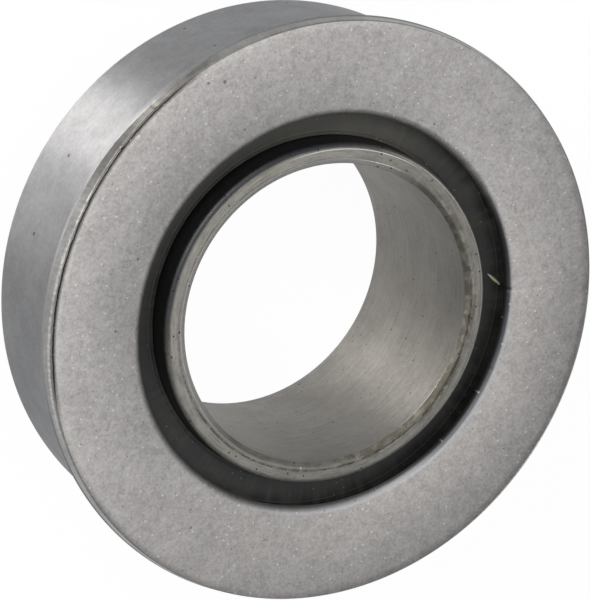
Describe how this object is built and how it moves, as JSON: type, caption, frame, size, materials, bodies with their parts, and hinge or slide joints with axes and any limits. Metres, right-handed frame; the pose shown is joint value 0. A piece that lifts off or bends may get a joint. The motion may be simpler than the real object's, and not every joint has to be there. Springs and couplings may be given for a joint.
{
  "type": "flanged ball bearing",
  "caption": "Flanged ball bearing with a drawn steel shell, crimped face plate, recessed dark seals and a through bore.",
  "frame": {"origin": "centre of the ring on which the bearing stands: the rear end of the inner ring", "axes": "+Z along the bearing's axis, from the rear towards the flange and the face plate; +X through the first ball"},
  "size_m": [0.0372, 0.0372, 0.0127],
  "materials": {
    "shell_steel": "smooth drawn steel with a soft sheen, a few dark pits and fine scuffs",
    "plate_steel": "matt tumbled steel with fine grain, small pits and pale specks",
    "race_steel": "turned and hardened steel",
    "ring_steel": "turned steel with a brushed bore and small rust pits on its rim",
    "seal_rubber": "matt charcoal with faint radial marks",
    "cage_steel": "pressed sheet steel",
    "ball_steel": "polished steel"
  },
  "bodies": {
    "outer": {"outer_shell": "shell_steel", "face_plate": "plate_steel", "outer_race": "race_steel", "front_seal": "seal_rubber", "rear_seal": "seal_rubber"},
    "inner": {"inner_ring": "ring_steel"},
    "cage": {"cage_front": "cage_steel", "cage_rear": "cage_steel", "cage_rivet_01": "cage_steel", "cage_rivet_02": "cage_steel", "cage_rivet_03": "cage_steel", "cage_rivet_04": "cage_steel", "cage_rivet_05": "cage_steel", "cage_rivet_06": "cage_steel", "cage_rivet_07": "cage_steel", "cage_rivet_08": "cage_steel", "cage_rivet_09": "cage_steel", "cage_rivet_10": "cage_steel", "cage_rivet_11": "cage_steel"},
    "rolling_ball_01": {"ball_01": "ball_steel"},
    "rolling_ball_02": {"ball_02": "ball_steel"},
    "rolling_ball_03": {"ball_03": "ball_steel"},
    "rolling_ball_04": {"ball_04": "ball_steel"},
    "rolling_ball_05": {"ball_05": "ball_steel"},
    "rolling_ball_06": {"ball_06": "ball_steel"},
    "rolling_ball_07": {"ball_07": "ball_steel"},
    "rolling_ball_08": {"ball_08": "ball_steel"},
    "rolling_ball_09": {"ball_09": "ball_steel"},
    "rolling_ball_10": {"ball_10": "ball_steel"},
    "rolling_ball_11": {"ball_11": "ball_steel"}
  },
  "joints": [
    {"name": "inner_spin", "type": "hinge", "parent": "outer", "child": "inner", "pos_m": [0, 0, 0], "axis": [0, 0, 1], "continuous": true},
    {"name": "cage_orbit", "type": "hinge", "parent": "outer", "child": "cage", "pos_m": [0, 0, 0], "axis": [0, 0, 1], "continuous": true},
    {"name": "ball_01_spin", "type": "hinge", "parent": "cage", "child": "rolling_ball_01", "pos_m": [0.01281, 0, 0.00723], "axis": [0, 0, 1], "continuous": true},
    {"name": "ball_02_spin", "type": "hinge", "parent": "cage", "child": "rolling_ball_02", "pos_m": [0.01077, 0.00692, 0.00723], "axis": [0, 0, 1], "continuous": true},
    {"name": "ball_03_spin", "type": "hinge", "parent": "cage", "child": "rolling_ball_03", "pos_m": [0.00532, 0.01165, 0.00723], "axis": [0, 0, 1], "continuous": true},
    {"name": "ball_04_spin", "type": "hinge", "parent": "cage", "child": "rolling_ball_04", "pos_m": [-0.00182, 0.01268, 0.00723], "axis": [0, 0, 1], "continuous": true},
    {"name": "ball_05_spin", "type": "hinge", "parent": "cage", "child": "rolling_ball_05", "pos_m": [-0.00839, 0.00968, 0.00723], "axis": [0, 0, 1], "continuous": true},
    {"name": "ball_06_spin", "type": "hinge", "parent": "cage", "child": "rolling_ball_06", "pos_m": [-0.01229, 0.00361, 0.00723], "axis": [0, 0, 1], "continuous": true},
    {"name": "ball_07_spin", "type": "hinge", "parent": "cage", "child": "rolling_ball_07", "pos_m": [-0.01229, -0.00361, 0.00723], "axis": [0, 0, 1], "continuous": true},
    {"name": "ball_08_spin", "type": "hinge", "parent": "cage", "child": "rolling_ball_08", "pos_m": [-0.00839, -0.00968, 0.00723], "axis": [0, 0, 1], "continuous": true},
    {"name": "ball_09_spin", "type": "hinge", "parent": "cage", "child": "rolling_ball_09", "pos_m": [-0.00182, -0.01268, 0.00723], "axis": [0, 0, 1], "continuous": true},
    {"name": "ball_10_spin", "type": "hinge", "parent": "cage", "child": "rolling_ball_10", "pos_m": [0.00532, -0.01165, 0.00723], "axis": [0, 0, 1], "continuous": true},
    {"name": "ball_11_spin", "type": "hinge", "parent": "cage", "child": "rolling_ball_11", "pos_m": [0.01077, -0.00692, 0.00723], "axis": [0, 0, 1], "continuous": true}
  ],
  "couplings": [
    {"joint": "cage_orbit", "follows": "inner_spin", "ratio": 0.40704},
    {"joint": "ball_01_spin", "follows": "inner_spin", "ratio": -2.5962},
    {"joint": "ball_02_spin", "follows": "inner_spin", "ratio": -2.5962},
    {"joint": "ball_03_spin", "follows": "inner_spin", "ratio": -2.5962},
    {"joint": "ball_04_spin", "follows": "inner_spin", "ratio": -2.5962},
    {"joint": "ball_05_spin", "follows": "inner_spin", "ratio": -2.5962},
    {"joint": "ball_06_spin", "follows": "inner_spin", "ratio": -2.5962},
    {"joint": "ball_07_spin", "follows": "inner_spin", "ratio": -2.5962},
    {"joint": "ball_08_spin", "follows": "inner_spin", "ratio": -2.5962},
    {"joint": "ball_09_spin", "follows": "inner_spin", "ratio": -2.5962},
    {"joint": "ball_10_spin", "follows": "inner_spin", "ratio": -2.5962},
    {"joint": "ball_11_spin", "follows": "inner_spin", "ratio": -2.5962}
  ]
}
